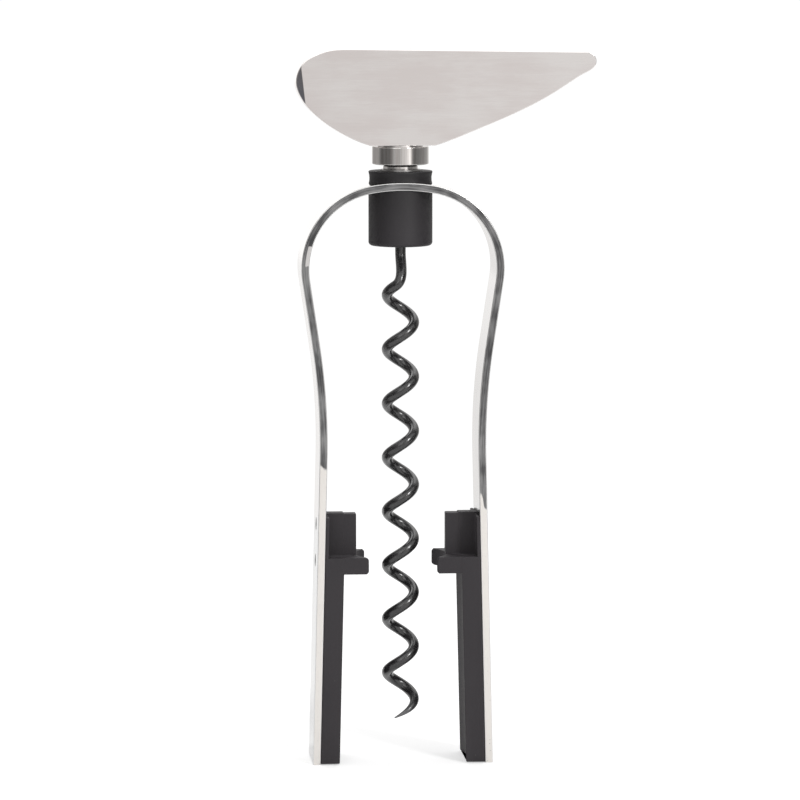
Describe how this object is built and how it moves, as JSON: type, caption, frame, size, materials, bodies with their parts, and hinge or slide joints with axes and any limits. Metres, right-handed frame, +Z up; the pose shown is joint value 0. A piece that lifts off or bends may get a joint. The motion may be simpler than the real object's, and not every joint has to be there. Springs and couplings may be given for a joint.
{
  "type": "self-pulling corkscrew",
  "caption": "Continuous-turn corkscrew: a leaf-shaped handle turns a captive worm in the hub of a bent spring-strip frame, with plastic jaws that straddle the bottle neck.",
  "frame": {"origin": "on the surface the legs stand on, below the worm's axis, where the bottle neck enters", "axes": "+Z up the worm's axis, +X along the handle's long wing, +Y across the spring strip's width"},
  "size_m": [0.0808, 0.018, 0.1937],
  "materials": {
    "strip_steel": "satin, ground edges",
    "handle_steel": "fine satin polish",
    "bright_steel": "polished",
    "machined_steel": "turned",
    "black_plastic": "fine moulded texture",
    "worm_coating": "semi-gloss low-friction coating",
    "screw_black": "black oxide"
  },
  "bodies": {
    "root": {"spring_strip": "strip_steel", "hub_top": "black_plastic", "hub_body": "black_plastic", "flanged_bush": "machined_steel", "bush_nut": "machined_steel", "thrust_washer": "bright_steel"},
    "turning_unit": {"handle": "handle_steel", "collar": "bright_steel", "spindle": "machined_steel", "lower_washer": "machined_steel", "retaining_ring": "machined_steel", "worm": "worm_coating", "worm_pin": "machined_steel"},
    "left_jaw_body": {"left_jaw": "black_plastic", "left_jaw_screws": "screw_black"},
    "right_jaw_body": {"right_jaw": "black_plastic", "right_jaw_screws": "screw_black"}
  },
  "joints": [
    {"name": "worm_spin", "type": "hinge", "parent": "root", "child": "turning_unit", "pos_m": [0, 0, 0.15], "axis": [0, 0, 1], "continuous": true},
    {"name": "left_jaw_squeeze", "type": "hinge", "parent": "root", "child": "left_jaw_body", "pos_m": [-0.0256, 0, 0.132], "axis": [0, -1, 0], "range_deg": [0, 2.4], "stiffness_Nm_per_rad": 10, "deforming": ["spring_strip"]},
    {"name": "right_jaw_squeeze", "type": "hinge", "parent": "root", "child": "right_jaw_body", "pos_m": [0.0256, 0, 0.132], "axis": [0, 1, 0], "range_deg": [0, 2.4], "stiffness_Nm_per_rad": 10, "deforming": ["spring_strip"]}
  ]
}
